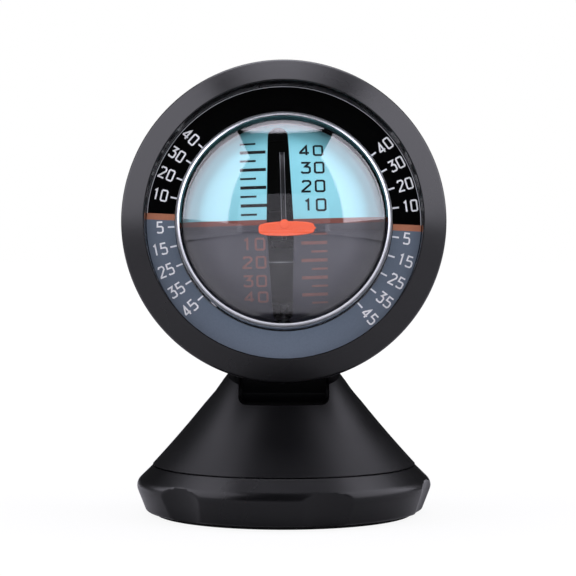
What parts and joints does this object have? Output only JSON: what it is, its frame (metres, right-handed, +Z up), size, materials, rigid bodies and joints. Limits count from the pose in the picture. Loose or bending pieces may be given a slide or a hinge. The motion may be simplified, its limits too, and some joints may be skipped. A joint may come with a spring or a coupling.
{
  "type": "inclinometer",
  "caption": "Dashboard inclinometer: a weighted ball behind a clear dome shows pitch at a pointer and roll on a ring of degrees; the head leans on a hinge and turns on a round foot.",
  "frame": {"origin": "middle of the foot pad's underside, on the swivel's axis", "axes": "+Z up, the dial faces -Y, +X to the right of the dial"},
  "size_m": [0.072, 0.0668, 0.1022],
  "materials": {
    "base_ring": "satin black moulding",
    "base_plate": "black moulding",
    "base_screws": "zinc plated",
    "foot_pad": "black foam, adhesive underneath",
    "swivel_bush": "natural acetal",
    "cone_shell": "satin black moulding",
    "swivel_ring": "natural acetal",
    "swivel_washer": "zinc plated",
    "spring_washer": "spring steel",
    "swivel_screw": "zinc plated",
    "hinge_screw": "blackened",
    "hinge_nut": "blackened",
    "hinge_washers": "black nylon",
    "neck_bracket": "satin black moulding",
    "neck_screws": "zinc plated",
    "rear_case": "satin black moulding",
    "rear_cap": "satin black moulding",
    "bezel": "satin black moulding",
    "case_screws": "blackened",
    "dial_ring": "printed black over slate grey",
    "dome_lens": "clear polycarbonate",
    "shaft_bushes": "turned brass",
    "roll_shaft": "ground steel",
    "shaft_collar": "turned brass",
    "shaft_clip": "spring steel",
    "roll_hub": "turned brass",
    "pitch_axle": "ground steel",
    "pointer_arm": "black strip",
    "pointer": "bright orange",
    "ball_upper_shell": "sky blue with black print",
    "ball_lower_shell": "dark grey with faded print",
    "horizon_band": "brown orange",
    "counterweight": "turned steel",
    "weight_screw": "zinc plated"
  },
  "bodies": {
    "foot": {"base_ring": "base_ring", "base_plate": "base_plate", "base_screws": "base_screws", "foot_pad": "foot_pad", "swivel_bush": "swivel_bush"},
    "turret": {"cone_shell": "cone_shell", "swivel_ring": "swivel_ring", "swivel_washer": "swivel_washer", "spring_washer": "spring_washer", "swivel_screw": "swivel_screw", "hinge_screw": "hinge_screw", "hinge_nut": "hinge_nut", "hinge_washers": "hinge_washers"},
    "head": {"neck_bracket": "neck_bracket", "neck_screws": "neck_screws", "rear_case": "rear_case", "rear_cap": "rear_cap", "bezel": "bezel", "case_screws": "case_screws", "dial_ring": "dial_ring", "dome_lens": "dome_lens", "shaft_bushes": "shaft_bushes"},
    "roll_frame": {"roll_shaft": "roll_shaft", "shaft_collar": "shaft_collar", "shaft_clip": "shaft_clip", "roll_hub": "roll_hub", "pitch_axle": "pitch_axle", "pointer_arm": "pointer_arm", "pointer": "pointer"},
    "ball": {"ball_upper_shell": "ball_upper_shell", "ball_lower_shell": "ball_lower_shell", "horizon_band": "horizon_band", "counterweight": "counterweight", "weight_screw": "weight_screw"}
  },
  "joints": [
    {"name": "base_swivel", "type": "hinge", "parent": "foot", "child": "turret", "pos_m": [0, 0, 0.0106], "axis": [0, 0, 1], "continuous": true},
    {"name": "head_tilt", "type": "hinge", "parent": "turret", "child": "head", "pos_m": [0, 0, 0.0275], "axis": [1, 0, 0], "range_deg": [-12, 12]},
    {"name": "ball_roll", "type": "hinge", "parent": "head", "child": "roll_frame", "pos_m": [0, -0.0015, 0.0652], "axis": [0, -0.9954, 0.0958], "continuous": true},
    {"name": "ball_pitch", "type": "hinge", "parent": "roll_frame", "child": "ball", "pos_m": [0, -0.0015, 0.0652], "axis": [0.9996, 0.0027, 0.0278], "range_deg": [-45, 45]}
  ]
}
